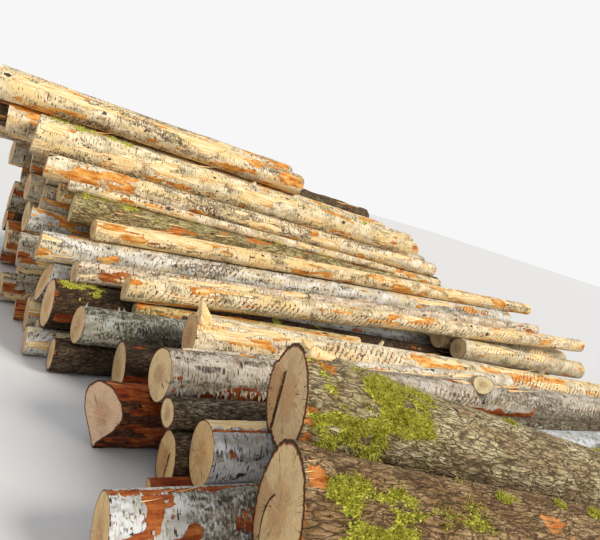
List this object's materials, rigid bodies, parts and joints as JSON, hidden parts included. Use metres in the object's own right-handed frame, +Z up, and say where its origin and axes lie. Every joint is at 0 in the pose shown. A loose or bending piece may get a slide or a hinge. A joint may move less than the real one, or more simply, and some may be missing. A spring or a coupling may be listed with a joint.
{
  "type": "stack of logs",
  "caption": "Heap of felled birch and other hardwood stems lying side by side, sawn butts at one end and slender tips at the other.",
  "frame": {"origin": "middle of the heap's box, on the ground that it lies on", "axes": "+X along the logs from their sawn butts to their tips, +Y across the heap from its low side to its high side, +Z up"},
  "size_m": [6.8796, 6.5862, 1.8453],
  "materials": {
    "birch_bark": "white birch bark with dark lenticels",
    "dark_bark": "rough dark bark",
    "peeled_wood": "stem stripped of its bark",
    "mossy_bark": "fissured bark grown over with moss"
  },
  "bodies": {
    "root": {"barkless_log": "peeled_wood", "bright_birch_log": "birch_bark", "crest_birch_log": "birch_bark", "dark_rough_log": "dark_bark", "green_bark_log": "dark_bark", "grey_thin_log": "dark_bark", "ground_face_log": "birch_bark", "heart_butt_log": "dark_bark", "inner_logs_course_1": "birch_bark", "inner_logs_course_2": "birch_bark", "inner_logs_course_3": "birch_bark", "inner_logs_course_4": "birch_bark", "inner_logs_course_5": "birch_bark", "inner_logs_course_6": "birch_bark", "inner_logs_course_7": "birch_bark", "knotted_birch_log": "birch_bark", "lichen_birch_log": "birch_bark", "low_crest_log": "birch_bark", "lower_mossy_log": "mossy_bark", "moss_capped_log": "dark_bark", "moss_topped_birch_log": "birch_bark", "near_side_log": "birch_bark", "oval_butt_log": "birch_bark", "pale_crest_log": "birch_bark", "peeled_birch_log": "birch_bark", "red_peeled_log": "peeled_wood", "scarred_birch_log": "birch_bark", "shaded_birch_log": "birch_bark", "short_logs": "birch_bark", "side_birch_log": "birch_bark", "silver_birch_log": "birch_bark", "silvery_log": "birch_bark", "slant_cut_log": "dark_bark", "slim_birch_log": "birch_bark", "small_green_log": "birch_bark", "small_pale_log": "birch_bark", "thin_pale_log": "birch_bark", "thin_red_log": "peeled_wood", "thin_side_log": "birch_bark", "torn_birch_log": "peeled_wood", "twin_stem_log": "dark_bark", "under_birch_log": "birch_bark", "upper_mossy_log": "mossy_bark", "wounded_birch_log": "birch_bark", "yellow_birch_log": "birch_bark"}
  },
  "joints": []
}
